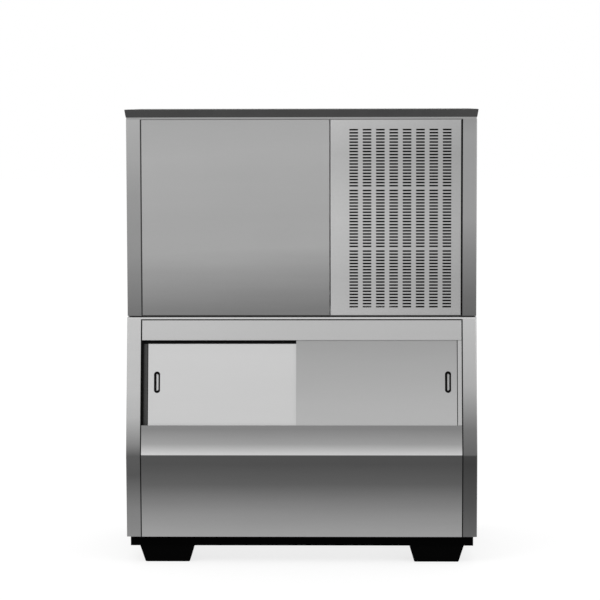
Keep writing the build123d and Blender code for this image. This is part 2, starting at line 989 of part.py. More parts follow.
def fan_blade():
    """The fan: a hub and pitched blades with round tips."""
    root = hub_radius - blade_overlap
    tip = fan_radius + blade_overlap
    corners = [(root, blade_root[0]), (tip, blade_tip[0]), (tip, blade_tip[1]), (root, blade_root[1])]
    blade_outline = make_face(Polyline(*corners, close=True))
    blade = extrude(blade_outline, amount=blade_sheet / 2, both=True)
    blade = Rot(blade_pitch, 0, 0) * blade
    solid = Cylinder(hub_radius, hub_length)
    for index in range(blade_count):
        solid += Rot(0, 0, index * 360 / blade_count) * blade
    solid &= Cylinder(fan_radius, 2 * hub_length)
    solid -= Cylinder(shaft_radius + shaft_play, 2 * hub_length)
    centre = Pos(slots_centre_x, fan_front_y + hub_length / 2, fan_z)
    return centre * Rot(90, 0, 0) * solid


def grommet_centres():
    """The four places where the compressor stands."""
    half = grommet_spacing / 2
    return [
        (compressor_x + i * half, compressor_y + j * half) for i in (-1, 1) for j in (-1, 1)
    ]


def hot_port():
    """(x, y) of the discharge stub on the compressor's dome."""
    return compressor_x + compressor_port, compressor_y - compressor_port


def compressor():
    """The sealed compressor shell on its foot plate."""
    r = compressor_radius
    h = compressor_height
    profile = Polyline(
        (0, 0),
        (r - shell_taper, 0),
        (r, shell_taper_height),
        (r, h * shell_shoulder),
        (r * shell_dome_radius, h * shell_dome),
        (0, h),
        close=True,
    )
    shell = revolve(Plane.XZ * make_face(profile), Axis.Z)
    half = foot_plate / 2
    plate = block(-half, half, -half, half, -foot_plate_sheet, 0)
    solid = Pos(compressor_x, compressor_y, shell_z) * (shell + plate)
    x, y = hot_port()
    solid += rod((x, y, shell_z + h * port_level), (x, y, shell_z + h), line_radius + neck_wall)
    for x, y in grommet_centres():
        solid -= rod((x, y, plate_z - 1), (x, y, shell_z + 1), grommet_bore)
    return solid


def compressor_grommets():
    """Four rubber mounts under the compressor."""
    grommets = [
        rod((x, y, pan_top_z), (x, y, plate_z), grommet_radius, grommet_bore)
        for x, y in grommet_centres()
    ]
    return Compound(children=grommets)


def hot_points():
    """The discharge line's route, from the compressor to the condenser."""
    x, y = hot_port()
    front = coil_front_y + coil_depth / 2
    return [
        (x, y, shell_z + compressor_height),
        (x, y, hot_line_z),
        (line_x, y, hot_line_z),
        (line_x, front, hot_line_z),
        (coil_right, front, hot_line_z),
    ]


def liquid_points():
    """The liquid line's route, from the condenser round the rear to the drier."""
    front = coil_front_y + coil_depth / 2
    rear = inner_rear_y - sheet - line_setback
    return [
        (coil_right, front, drier_z),
        (line_x, front, drier_z),
        (line_x, rear, drier_z),
        (drier_x, rear, drier_z),
        (drier_x, drier_y1, drier_z),
    ]


def filter_drier():
    """The drier, a capsule with coned ends along the bulkhead."""
    r = drier_radius
    n = fine_line_radius + neck_wall
    profile = Polyline(
        (0, 0), (n, 0), (r, drier_cone), (r, drier_length - drier_cone), (n, drier_length),
        (0, drier_length), close=True,
    )
    solid = revolve(Plane.XZ * make_face(profile), Axis.Z)
    return Pos(drier_x, drier_y1, drier_z) * Rot(90, 0, 0) * solid


def expansion_points():
    """The expansion line's route, from the drier through the bulkhead."""
    return [
        (drier_x, drier_y1 - drier_length, drier_z),
        (drier_x, flat_tube_y - expansion_offset, drier_z),
        (drier_x, flat_tube_y - expansion_offset, last_run_z),
        (drier_x, flat_tube_y, last_run_z),
        (evaporator_x1, flat_tube_y, last_run_z),
    ]


def suction_points():
    """The suction line's route, from the evaporator to the compressor's side."""
    x = split_x + suction_offset
    return [
        (evaporator_x1, flat_tube_y, first_run_z),
        (x, flat_tube_y, first_run_z),
        (x, compressor_y, first_run_z),
        (compressor_x - compressor_radius, compressor_y, first_run_z),
    ]


def evaporator_plate():
    """The ice mould: a grid of cells open to the front."""
    solid = block(
        evaporator_x0, evaporator_x1, evaporator_y0, evaporator_y1, evaporator_z, evaporator_top
    )
    pitch_x = (evaporator_width - cell_wall) / cell_columns
    pitch_z = (evaporator_height - cell_wall) / cell_rows
    cells = []
    for column in range(cell_columns):
        x = evaporator_x0 + cell_wall + column * pitch_x
        for row in range(cell_rows):
            z = evaporator_z + cell_wall + row * pitch_z
            cells.append(
                block(
                    x, x + pitch_x - cell_wall, evaporator_y0 - 1, evaporator_y1 - cell_wall,
                    z, z + pitch_z - cell_wall,
                )
            )
    return solid - cells


def evaporator_coil():
    """The flattened refrigerant tube that winds up the mould's back."""
    half = flat_tube_width / 2
    bend = run_pitch / 2
    x0 = evaporator_x0 + bend + bend_margin
    x1 = evaporator_x1 - bend - bend_margin
    face = Sketch()
    for index in range(coil_runs):
        z = first_run_z + index * run_pitch
        end = evaporator_x1 if index in (0, coil_runs - 1) else x1
        face += Pos((x0 + end) / 2, z) * Rectangle(end - x0, flat_tube_width)
    for index in range(coil_runs - 1):
        z = first_run_z + (index + 0.5) * run_pitch
        x, side = (x0, -1) if index % 2 == 0 else (x1, 1)
        ring = Circle(bend + half) - Circle(bend - half)
        ring &= Pos(side * run_pitch, 0) * Rectangle(2 * run_pitch, 2 * run_pitch)
        face += Pos(x, z) * ring
    back = Plane(origin=(0, evaporator_y1, 0), x_dir=(1, 0, 0), z_dir=(0, -1, 0))
    return extrude(back * face, amount=-flat_tube_depth)


def evaporator_frame():
    """Two moulded cheeks and a bridge that hold the mould, curtain and distributor."""
    front = hinge_y - cheek_lead
    top = evaporator_top + cheek_top
    cheek = [
        (front, hinge_z - cheek_drop),
        (trough_y0, evaporator_z),
        (trough_y0, trough_top),
        (trough_y1, trough_top),
        (trough_y1, trough_top + cheek_foot),
        (evaporator_y1, evaporator_z - cheek_heel),
        (evaporator_y1, top),
        (front, top),
    ]
    left = prism(cheek, evaporator_x0 - cheek_sheet, evaporator_x0)
    right = prism(cheek, evaporator_x1, evaporator_x1 + cheek_sheet)
    bridge = block(
        evaporator_x0, evaporator_x1, distributor_y - bridge_reach, evaporator_y1,
        top - bridge_height, top,
    )
    solid = left + right + bridge
    reach = cheek_sheet - cheek_skin
    solid -= rod(
        (evaporator_x0 - reach, hinge_y, hinge_z),
        (evaporator_x1 + reach, hinge_y, hinge_z),
        pin_radius + pin_play,
    )
    return solid - rod(
        (distributor_x0, distributor_y, distributor_z),
        (evaporator_x0 + 1, distributor_y, distributor_z),
        distributor_radius + hole_play,
    )


def water_curtain():
    """The splash curtain that swings on two pins in front of the mould."""
    x0 = evaporator_x0 + curtain_play
    x1 = evaporator_x1 - curtain_play
    y0 = hinge_y - curtain_sheet / 2
    low = hinge_z - curtain_drop
    solid = block(x0, x1, y0, y0 + curtain_sheet, low, hinge_z)
    solid += block(x0, x1, y0 - curtain_lip_depth, y0, low, low + curtain_lip)
    pin_x0 = evaporator_x0 - pin_length
    pin_x1 = evaporator_x1 + pin_length
    barrel = rod((x0, hinge_y, hinge_z), (x1, hinge_y, hinge_z), pin_radius + barrel_wall)
    pins = rod((pin_x0, hinge_y, hinge_z), (pin_x1, hinge_y, hinge_z), pin_radius)
    return solid + barrel + pins


def water_distributor():
    """The tube over the mould, slotted along its underside."""
    x1 = evaporator_x1 - distributor_gap
    solid = rod(
        (distributor_x0, distributor_y, distributor_z), (x1, distributor_y, distributor_z),
        distributor_radius,
    )
    solid -= rod(
        (distributor_x0, distributor_y, distributor_z),
        (x1 - distributor_end, distributor_y, distributor_z),
        distributor_bore,
    )
    pitch = evaporator_width / distributor_slots
    for index in range(distributor_slots):
        x = evaporator_x0 + (index + 0.5) * pitch
        solid -= block(
            x, x + distributor_slot,
            distributor_y - distributor_slot_half, distributor_y + distributor_slot_half,
            distributor_z - distributor_radius - 1, distributor_z,
        )
    return solid


def riser_tube():
    """The water tube from the pump up to the distributor."""
    return pipe(
        [
            (riser_x, distributor_y, trough_top + trough_wall),
            (riser_x, distributor_y, distributor_z),
            (distributor_x0, distributor_y, distributor_z),
        ],
        distributor_radius,
        riser_bend,
        distributor_bore,
    )


def water_trough():
    """The open tray that catches the water below the mould."""
    solid = block(trough_x0, trough_x1, trough_y0, trough_y1, pan_top_z, trough_top)
    solid -= block(
        trough_x0 + trough_wall, trough_x1 - trough_wall, trough_y0 + trough_wall,
        trough_y1 - trough_wall, pan_top_z + trough_wall, trough_top + 1,
    )
    return solid - rod(
        (drain_x(), trough_y1 - trough_wall - 1, drain_z()),
        (drain_x(), trough_y1 + 1, drain_z()),
        drain_bore,
    )


def water_pump():
    """The circulation pump: motor, mounting plate on the trough's rims, and inlet."""
    x = (trough_x0 + evaporator_x0 - cheek_sheet) / 2 - pump_offset
    y = trough_y1 - pump_radius - pump_margin
    plate_x1 = evaporator_x0 - cheek_sheet - pump_plate_gap
    solid = block(trough_x0, plate_x1, trough_y0, trough_y1, trough_top, trough_top + trough_wall)
    top = trough_top + trough_wall
    solid += rod((x, y, top), (x, y, top + pump_height), pump_radius)
    low = pan_top_z + trough_wall + impeller_lift
    return solid + rod((x, y, low), (x, y, trough_top), impeller_radius)


def valve_x():
    """Across: the float valve's centre, between the cheek and the trough's end."""
    return (evaporator_x1 + cheek_sheet + trough_x1 - trough_wall) / 2


def valve_y0():
    """The front of the float valve's body, just ahead of the trough's rear rim."""
    return trough_y1 - trough_wall - valve_overhang


def valve_z():
    """The level of the inlet that feeds the float valve."""
    return trough_top + valve_height * valve_port


def float_pivot():
    """(y, z) of the float arm's pivot."""
    return valve_y0() - pivot_lead, trough_top + pivot_rise


def float_valve():
    """The valve body on the trough's rear rim, with two ears for the float arm."""
    x = valve_x()
    y0 = valve_y0()
    half = valve_width / 2
    solid = block(x - half, x + half, y0, y0 + valve_depth, trough_top, trough_top + valve_height)
    py, pz = float_pivot()
    for side in (-1, 1):
        ear = x + side * (half - ear_sheet / 2)
        solid += block(
            ear - ear_sheet / 2, ear + ear_sheet / 2, py - ear_half, y0, pz - ear_half, pz + ear_half
        )
    return solid - rod(
        (x - half - 1, py, pz), (x + half + 1, py, pz), pin_radius / 2 + pin_play
    )


def float_arm():
    """The arm, its pin and the float, which rises with the water."""
    py, pz = float_pivot()
    x = valve_x()
    half = valve_width / 2
    tip = py - float_arm_length
    solid = rod((x - half, py, pz), (x + half, py, pz), pin_radius / 2)
    inner = half - ear_sheet - arm_play
    solid += rod((x - inner, py, pz), (x + inner, py, pz), pin_radius)
    s = float_arm_section / 2
    solid += block(x - s, x + s, tip, py, pz - s, pz + s)
    low = pan_top_z + trough_wall + float_clearance
    solid += block(x - s, x + s, tip - s, tip + s, low + float_height - 1, pz + s)
    return solid + rod((x, tip, low), (x, tip, low + float_height), float_radius)


def collars(x, z, radius):
    """A fitting's flange and nut, on the two faces of the head's rear panel."""
    inner = rear_panel_y - flange_sheet
    outer = rear_panel_y + sheet
    flange = rod((x, inner, z), (x, rear_panel_y, z), radius)
    return flange + rod((x, outer, z), (x, outer + flange_sheet, z), radius)


def water_inlet():
    """The supply fitting at the rear and its straight tube to the float valve."""
    x = valve_x()
    z = valve_z()
    start = valve_y0() + valve_depth
    solid = rod((x, start, z), (x, back_y, z), inlet_radius)
    solid += collars(x, z, inlet_flange)
    return solid - rod((x, start, z), (x, back_y, z), inlet_bore)


def drain_x():
    """Across: the trough's drain."""
    return (evaporator_x0 + evaporator_x1) / 2


def drain_z():
    """The level of the trough's drain."""
    return pan_top_z + trough_wall + drain_radius + drain_lift


def trough_drain():
    """The straight drain tube from the trough to the rear."""
    x = drain_x()
    z = drain_z()
    solid = rod((x, trough_y1, z), (x, back_y, z), drain_radius)
    solid += collars(x, z, drain_flange)
    return solid - rod((x, trough_y1, z), (x, back_y, z), drain_bore)


def bin_drain():
    """The bin's drain, from the liner's floor to the rear, with a socket in its outer end."""
    z = bin_drain_z()
    start = inner_rear_y - foam
    solid = rod((0, start, z), (0, back_y, z), bin_drain_radius)
    solid += rod((0, rear_y - sheet, z), (0, rear_y - sheet + flange_sheet, z), bin_drain_flange)
    solid -= rod((0, start, z), (0, back_y, z), bin_drain_passage)
    return solid - rod((0, back_y - bin_drain_depth, z), (0, back_y, z), bin_drain_bore)


def box_corner():
    """(x, y, z) of the control box's lower front left corner."""
    return -inside_x, pan_front_y, head_z + box_lift


def lever_pivot():
    """(x, y, z) of the toggle lever's pivot."""
    x, y, z = box_corner()
    return x + box_width / 2, y + lever_sink, z + box_height / 2


def control_box():
    """The closed control box, slotted for the lever, with two lugs for its pin."""
    x, y, z = box_corner()
    solid = block(x, x + box_width, y, y + box_depth, z, z + box_height)
    solid -= block(
        x + box_sheet, x + box_width - box_sheet, y + box_sheet, y + box_depth - box_sheet,
        z + box_sheet, z + box_height - box_sheet,
    )
    px, py, pz = lever_pivot()
    slot = lever_radius + lever_play
    solid -= block(px - slot, px + slot, y - 1, y + box_sheet + 1, pz - lever_throw, pz + lever_throw)
    half = lug_size / 2
    for side in (-1, 1):
        lug = px + side * (slot + lug_sheet / 2)
        solid += block(
            lug - lug_sheet / 2, lug + lug_sheet / 2, y + box_sheet, y + box_sheet + lug_size,
            pz - half, pz + half,
        )
    half = lever_pin_length / 2
    return solid - rod(
        (px - half - 1, py, pz), (px + half + 1, py, pz), lever_pin_radius + pin_play
    )


def toggle_switch():
    """The bat lever on its cross pin."""
    x, y, z = lever_pivot()
    half = lever_pin_length / 2
    solid = rod((x - half, y, z), (x + half, y, z), lever_pin_radius)
    return solid + rod((x, y + lever_radius, z), (x, y - lever_length, z), lever_radius)


def gland_x():
    """Across: the cable gland."""
    return half_width - gland_inset


def gland_z():
    """The level of the cable gland."""
    return head_z + gland_level


def cable_gland():
    """The empty cable entry at the rear."""
    x = gland_x()
    z = gland_z()
    inner = rear_panel_y - gland_tail
    solid = rod((x, inner, z), (x, back_y - gland_short, z), gland_radius)
    flange_y = rear_panel_y + sheet
    solid += rod((x, flange_y, z), (x, flange_y + gland_flange, z), gland_nut)
    return solid - rod((x, inner, z), (x, back_y, z), gland_bore)


def mirrored(solid):
    """The same piece for the other side."""
    return mirror(solid, about=Plane.YZ)


left_bin_side = bin_side()
left_head_side = head_side()
left_pull_x = left_door_x + pull_inset
right_pull_x = right_door_x + door_width - pull_inset

parts = {
    "base_frame": base_frame(),
    "bin_floor_pan": bin_floor_pan(),
    "bin_left_side": left_bin_side,
    "bin_right_side": mirrored(left_bin_side),
    "bin_rear_panel": bin_rear_panel(),
    "bin_liner": bin_liner(),
    "bin_drain": bin_drain(),
    "bin_top_frame": bin_top_frame(),
    "door_surround": door_surround(),
    "front_apron": front_apron(),
    "header_panel": header_panel(),
    "lower_track": lower_track(),
    "upper_track": upper_track(),
    "left_jamb": left_jamb(),
    "right_jamb": right_jamb(),
    "left_door": door(left_door_x, rear_door_depth, left_pull_x),
    "right_door": door(right_door_x, front_door_depth, right_pull_x),
    "left_door_pull": door_pull(rear_door_depth, left_pull_x),
    "right_door_pull": door_pull(front_door_depth, right_pull_x),
    "head_gasket": head_gasket(),
    "head_base_pan": head_base_pan(),
    "head_left_side": left_head_side,
    "head_right_side": mirrored(left_head_side),
    "head_front_panel": head_front_panel(),
    "louvre_panel": louvre_panel(),
    "head_rear_panel": head_rear_panel(),
    "head_top_rail": head_top_rail(),
    "top_cover": top_cover(),
    "bulkhead": bulkhead(),
    "condenser_coil": condenser_coil(),
    "fan_shroud": fan_shroud(),
    "fan_bracket": fan_bracket(),
    "fan_motor": fan_motor(),
    "fan_blade": fan_blade(),
    "compressor": compressor(),
    "compressor_grommets": compressor_grommets(),
    "filter_drier": filter_drier(),
    "discharge_line": pipe(hot_points(), line_radius, line_bend),
    "liquid_line": pipe(liquid_points(), fine_line_radius, line_bend),
    "expansion_line": pipe(expansion_points(), fine_line_radius, fine_line_bend),
    "suction_line": pipe(suction_points(), line_radius, line_bend),
    "evaporator_plate": evaporator_plate(),
    "evaporator_coil": evaporator_coil(),
    "evaporator_frame": evaporator_frame(),
    "water_curtain": water_curtain(),
    "water_distributor": water_distributor(),
    "riser_tube": riser_tube(),
    "water_trough": water_trough(),
    "water_pump": water_pump(),
    "float_valve": float_valve(),
    "float_arm": float_arm(),
    "water_inlet": water_inlet(),
    "trough_drain": trough_drain(),
    "control_box": control_box(),
    "toggle_switch": toggle_switch(),
    "cable_gland": cable_gland(),
}
for name, (x, y) in foot_centres().items():
    parts[name] = foot(x, y)

os.makedirs("parts", exist_ok=True)
for name, solid in parts.items():
    export_step(solid, f"parts/{name}.step")
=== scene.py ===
import math

import bmesh
import bpy
import numpy as np
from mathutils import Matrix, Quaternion, Vector


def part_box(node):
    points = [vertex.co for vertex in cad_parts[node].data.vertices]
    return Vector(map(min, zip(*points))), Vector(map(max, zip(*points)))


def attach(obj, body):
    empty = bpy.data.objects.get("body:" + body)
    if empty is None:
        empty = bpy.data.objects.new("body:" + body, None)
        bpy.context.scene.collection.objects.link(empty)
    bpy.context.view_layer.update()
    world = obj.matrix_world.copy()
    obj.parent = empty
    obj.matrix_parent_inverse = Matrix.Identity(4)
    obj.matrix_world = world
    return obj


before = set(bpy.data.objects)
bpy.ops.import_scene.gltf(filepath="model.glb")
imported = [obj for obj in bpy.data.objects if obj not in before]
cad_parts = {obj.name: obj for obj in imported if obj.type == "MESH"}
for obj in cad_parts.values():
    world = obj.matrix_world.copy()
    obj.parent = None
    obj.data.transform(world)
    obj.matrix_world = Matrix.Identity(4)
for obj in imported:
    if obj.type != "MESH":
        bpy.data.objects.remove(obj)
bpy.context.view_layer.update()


# The studio: a pale floor under an even white sky. The camera and glossy metal both see
# the floor and sky as white, while the object is lit at a plain level and shades the floor.
class Wire:
    """An output of a node; + - * with a wire or a number add Math nodes."""

    def __init__(self, tree, socket=None):
        self.tree = tree
        self.socket = socket

    def node(self, kind, sockets, out=0, stops=None, **settings):
        """Adds a node: its settings first, then the values or links of its sockets."""
        made = self.tree.nodes.new("ShaderNode" + kind)
        for name, value in settings.items():
            setattr(made, name, value)
        if stops:
            ramp = made.color_ramp
            while len(ramp.elements) < len(stops):
                ramp.elements.new(1.0)
            for element, (position, colour) in zip(ramp.elements, stops):
                element.position = position
                element.color = (*colour, 1.0)
        for key, value in sockets.items():
            if isinstance(value, Wire):
                self.tree.links.new(value.socket, made.inputs[key])
            else:
                made.inputs[key].default_value = value
        return Wire(self.tree, made.outputs[out])

    def maths(self, operation, first, second):
        """A Math node on two wires or numbers."""
        return self.node("Math", {0: first, 1: second}, operation=operation)

    def __add__(self, other):
        return self.maths("ADD", self, other)

    __radd__ = __add__

    def __sub__(self, other):
        return self.maths("SUBTRACT", self, other)

    def __rsub__(self, other):
        return self.maths("SUBTRACT", other, self)

    def __mul__(self, other):
        return self.maths("MULTIPLY", self, other)


def shown(tree):
    """1 for rays that see the background itself: camera, glossy and transmission rays."""
    start = Wire(tree)
    camera, glossy, transmission = [
        start.node("LightPath", {}, out=f"Is {ray} Ray")
        for ray in ("Camera", "Glossy", "Transmission")
    ]
    return start.maths("MINIMUM", camera + glossy + transmission, 1.0)


def mixed(factor, first, second):
    """A colour between two: the first where the factor is 0, the second where it is 1."""
    sockets = {"Factor": factor, 6: first, 7: second}
    return factor.node("Mix", sockets, out=2, data_type="RGBA")


sky_light = 0.8
world = bpy.data.worlds.new("studio")
bpy.context.scene.world = world
world.use_nodes = True
sky = world.node_tree
backdrop = sky.nodes["Background"].inputs
sky.links.new((sky_light + shown(sky) * (1.0 - sky_light)).socket, backdrop["Strength"])
backdrop["Color"].default_value = (1, 1, 1, 1)


weld_reach = 1e-6


def lay(name, points, wrap=False):
    """A mesh of grids: points is (grids, rows, columns, 3). Quads join neighbouring rows and
    columns; wrap also joins the last column to the first."""
    count, rows, columns, _ = points.shape
    index = np.arange(count * rows * columns).reshape(count, rows, columns)
    if wrap:
        index = np.concatenate([index, index[:, :, :1]], axis=2)
    corners = [index[:, :-1, :-1], index[:, :-1, 1:], index[:, 1:, 1:], index[:, 1:, :-1]]
    quads = np.stack(corners, axis=-1).reshape(-1, 4)
    mesh = bpy.data.meshes.new(name)
    mesh.from_pydata(points.reshape(-1, 3).tolist(), [], quads.tolist())
    whole = bmesh.new()
    whole.from_mesh(mesh)
    bmesh.ops.remove_doubles(whole, verts=whole.verts, dist=weld_reach)
    bmesh.ops.recalc_face_normals(whole, faces=whole.faces)
    whole.to_mesh(mesh)
    whole.free()
    piece = bpy.data.objects.new(name, mesh)
    bpy.context.scene.collection.objects.link(piece)
    return piece


floor_reach, floor_lines = 40.0, 9
floor_albedo = 0.85
floor_shown = 0.3
floor_glow = 0.77
floor_rough = 0.9
line = np.linspace(-floor_reach, floor_reach, floor_lines)
across, along = np.meshgrid(line, line)
floor = lay("floor", np.stack([across, along, 0 * across], axis=-1)[None])
paint = bpy.data.materials.new("floor_paint")
paint.use_nodes = True
tree = paint.node_tree
shader = tree.nodes["Principled BSDF"]
shader.inputs["Roughness"].default_value = floor_rough
shader.inputs["Specular IOR Level"].default_value = 0.0
shader.inputs["Emission Strength"].default_value = floor_glow
seen = shown(tree)
pale = mixed(seen, (floor_albedo,) * 3 + (1,), (floor_shown,) * 3 + (1,))
tree.links.new(pale.socket, shader.inputs["Base Color"])
glow = mixed(seen, (0, 0, 0, 1), (1, 1, 1, 1))
tree.links.new(glow.socket, shader.inputs["Emission Color"])
floor.data.materials.append(paint)


def lamp(name, place, aim, watts, size=2.5):
    """A square soft lamp at a place, turned towards a point."""
    light = bpy.data.lights.new(name, "AREA")
    light.energy = watts
    light.size = size
    made = bpy.data.objects.new(name, light)
    made.location = place
    made.rotation_mode = "QUATERNION"
    made.rotation_quaternion = (Vector(aim) - Vector(place)).to_track_quat("-Z", "Y")
    bpy.context.scene.collection.objects.link(made)


lamp("key", (-3.2, -4.2, 4.4), (0, 0, 0.8), 60)
lamp("fill", (3.6, -3.4, 2.6), (0, 0, 0.8), 25)
lamp("back", (0.5, 4.5, 4.0), (0, 0, 0.9), 40)
bpy.context.scene.view_settings.view_transform = "Standard"


# The camera stands eight metres in front, a little to the right and above the middle, and
# looks slightly down through a long lens.
camera_turn = math.radians(1.154)
camera_rise = math.radians(4.899)
camera_roll = math.radians(-0.139)
camera_reach = 8.058
camera_aim = Vector((-0.0054, -0.3, 0.915))
camera_zoom = 3.8543
far_clip = 200.0
lens = bpy.data.cameras.new("camera")
lens.sensor_width = 36.0
lens.lens = camera_zoom * lens.sensor_width
lens.clip_end = far_clip
camera = bpy.data.objects.new("camera", lens)
bpy.context.scene.collection.objects.link(camera)
back = Vector((
    math.sin(camera_turn) * math.cos(camera_rise),
    -math.cos(camera_turn) * math.cos(camera_rise),
    math.sin(camera_rise),
))
camera.location = camera_aim + back * camera_reach
camera.rotation_mode = "QUATERNION"
upright = (-back).to_track_quat("-Z", "Y")
camera.rotation_quaternion = upright @ Quaternion((0, 0, 1), camera_roll)
bpy.context.scene.camera = camera


# The four feet: tapered mouldings of black plastic with a matt, finely pebbled skin, bolted
# up under the base frame.
def grey(value):
    """A display grey from 0 to 255 as a linear colour."""
    level = value / 255
    level = level / 12.92 if level < 0.04045 else ((level + 0.055) / 1.055) ** 2.4
    return (level,) * 3


def coating(name, look, fixed):
    """A material: look turns Object coordinates into its varying sockets by name, and
    fixed gives the sockets that are the same all over."""
    made = bpy.data.materials.new(name)
    made.use_nodes = True
    tree = made.node_tree
    shader = tree.nodes["Principled BSDF"]
    for key, value in fixed.items():
        shader.inputs[key].default_value = value
    place = Wire(tree).node("TexCoord", {}, out="Object")
    for key, wire in look(place).items():
        tree.links.new(wire.socket, shader.inputs[key])
    return made


def dress(finish, *names):
    """Puts a finish on CAD nodes, in their own material slots."""
    for name in names:
        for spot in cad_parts[name].material_slots:
            spot.material = finish


def noise(place, scale, detail):
    """Soft noise from 0 to 1 over a vector, finer with the scale."""
    return place.node("TexNoise", {"Vector": place, "Scale": scale, "Detail": detail})


def tinted(place, colour, gain):
    """A colour times a varying gain."""
    return place.node("VectorMath", {0: colour, "Scale": gain}, operation="SCALE")


def raised(place, height, depth, strength=1.0):
    """A bump from a height between 0 and 1, as deep as depth in metres."""
    return place.node("Bump", {"Height": height, "Distance": depth, "Strength": strength})


pebble_depth = 0.0002


def moulded(name, colour, rough=0.55, specular=0.1, pebble=900.0):
    """Moulded plastic: fine pebble, slight mottling and rubbed patches."""

    def look(place):
        rubbed = noise(place, 9.0, 4.0)
        return {
            "Base Color": tinted(place, colour, 0.85 + rubbed * 0.3),
            "Roughness": rough - 0.1 + rubbed * 0.2,
            "Normal": raised(place, noise(place, pebble, 2.0), pebble_depth),
        }

    return coating(name, look, {"Specular IOR Level": specular})


foot_plastic = moulded("foot_plastic", (0.0012,) * 3, specular=0.01)
dress(foot_plastic, "foot_front_left", "foot_front_right", "foot_rear_left", "foot_rear_right")


# The base frame: a ring of steel channel under the bin, finished in black stove enamel with
# a soft orange peel.
def enamelled(name, colour, rough=0.45, specular=0.1, patchy=0.24):
    """Painted sheet: orange peel in the film, and dust that settles unevenly."""

    def look(place):
        peel = noise(place, 260.0, 2.0)
        dust = noise(place, 6.0, 5.0)
        return {
            "Base Color": tinted(place, colour, dust * patchy + (1 - patchy / 2)),
            "Roughness": rough - 0.08 + dust * 0.16,
            "Normal": raised(place, peel, 0.0002, 0.6),
        }

    return coating(name, look, {"Specular IOR Level": specular})


base_paint = enamelled("base_paint", (0.0006,) * 3, specular=0.01)
dress(base_paint, "base_frame")


# The bin's side panels and front apron: brushed stainless sheet, folded at the crease. The
# grain runs across. Over the height a painted reflection drifts from bright to dark, a little
# unevenly, with a painted highlight on the apron just above the crease.
def along_axis(vector, letter):
    """One coordinate of a vector: X, Y or Z."""
    return vector.node("SeparateXYZ", {"Vector": vector}, out=letter)


def stretched(place, scales):
    """Object coordinates scaled by axis, so that noise over them is drawn out."""
    return place.node("Mapping", {"Vector": place, "Scale": scales})


def steel(name, painted_reflection, grain=0.05, drift=0.05, rough=0.32, speckle=0.02, streak=0.03,
          waver=0.0, fade=0.0, slant=0.0, middle=0.0, painted_edge_shade=0.0, painted_side_reflection=None):
    """Brushed stainless. Its tone is given as (height in metres, display grey) from low to
    high:
    the steel's grey with a painted reflection of the studio over the height. The optional
    second list paints such a reflection for faces that look sideways, over the same heights.
    grain, drift, speckle and streak are the depths of the fine lines, clouds, specks and long
    streaks. fade is a painted falloff of the light: it brightens the steel per metre towards
    +X from the middle. slant lifts the painted reflection per metre that way, waver moves it
    up and down by metres, and the edge factor paints shade on faces that look up or down,
    such as the cut edges of slots."""
    low = painted_reflection[0][0]
    span = painted_reflection[-1][0] - low
    front_ramp, side_ramp = [
        [((z - low) / span, grey(value)) for z, value in levels]
        for levels in (painted_reflection, painted_side_reflection or painted_reflection)
    ]
    brightness = 1.02

    def look(place):
        height = along_axis(place, "Z")
        side = along_axis(place, "X") - middle
        lines = noise(stretched(place, (12.0, 1400.0, 1400.0)), 1.0, 3.0)
        streaks = noise(stretched(place, (2.0, 8.0, 22.0)), 1.0, 3.0)
        cloud = noise(place, 2.2, 3.0)
        specks = noise(place, 190.0, 2.0)
        # The tone: a painted reflection of the studio, ramped over the height
        level = (height - side * slant + (streaks - 0.5) * waver - low) * (1 / span)
        tone = place.node("ValToRGB", {"Fac": level}, stops=front_ramp)
        even = brightness - (grain + drift + speckle + streak) / 2
        gain = lines * grain + cloud * drift + specks * speckle + streaks * streak
        # A painted falloff of the light across the sheet
        gain = gain + side * fade + even
        # Painted shade on faces that look up or down, such as the cut edges of slots
        if painted_edge_shade:
            upward = along_axis(place.node("TexCoord", {}, out="Normal"), "Z")
            gain = gain * (1 - upward * upward * painted_edge_shade)
        # Faces that look sideways get a painted reflection of their own
        if painted_side_reflection:
            sideways = along_axis(place.node("TexCoord", {}, out="Normal"), "X")
            side_tone = place.node("ValToRGB", {"Fac": level}, stops=side_ramp)
            tone = mixed(sideways * sideways, tone, side_tone)
        return {
            "Base Color": tinted(place, tone, gain),
            "Roughness": lines * 0.12 + (rough - 0.06),
            "Normal": raised(place, lines, 0.00004, 0.5),
        }

    return coating(name, look, {"Metallic": 1.0})


# Painted reflections of the studio by height: the left side lighter low down than the right,
# and a softer one for the side faces
bin_left = [
    (0.10, 134), (0.19, 124), (0.31, 84), (0.378, 88),
    (0.42, 132), (0.51, 176), (0.60, 186), (0.85, 190),
]
bin_right = [
    (0.10, 95), (0.21, 77), (0.35, 61), (0.379, 64),
    (0.383, 99), (0.47, 115), (0.62, 170), (0.85, 186),
]
bin_side_reflection = [(0.10, 128), (0.22, 112), (0.34, 108), (0.46, 132), (0.60, 168), (0.85, 188)]
dress(steel("bin_left_steel", bin_left, painted_side_reflection=bin_side_reflection), "bin_left_side")
dress(steel("bin_right_steel", bin_right, painted_side_reflection=bin_side_reflection), "bin_right_side")
# The apron's painted reflection: dark below the crease, with a painted highlight just above it
apron = [
    (0.10, 154), (0.17, 138), (0.28, 92), (0.35, 78),
    (0.3815, 78), (0.3830, 201), (0.42, 155), (0.47, 130),
]
dress(steel("apron_steel", apron, fade=-0.08, streak=0.09, speckle=0.03), "front_apron")


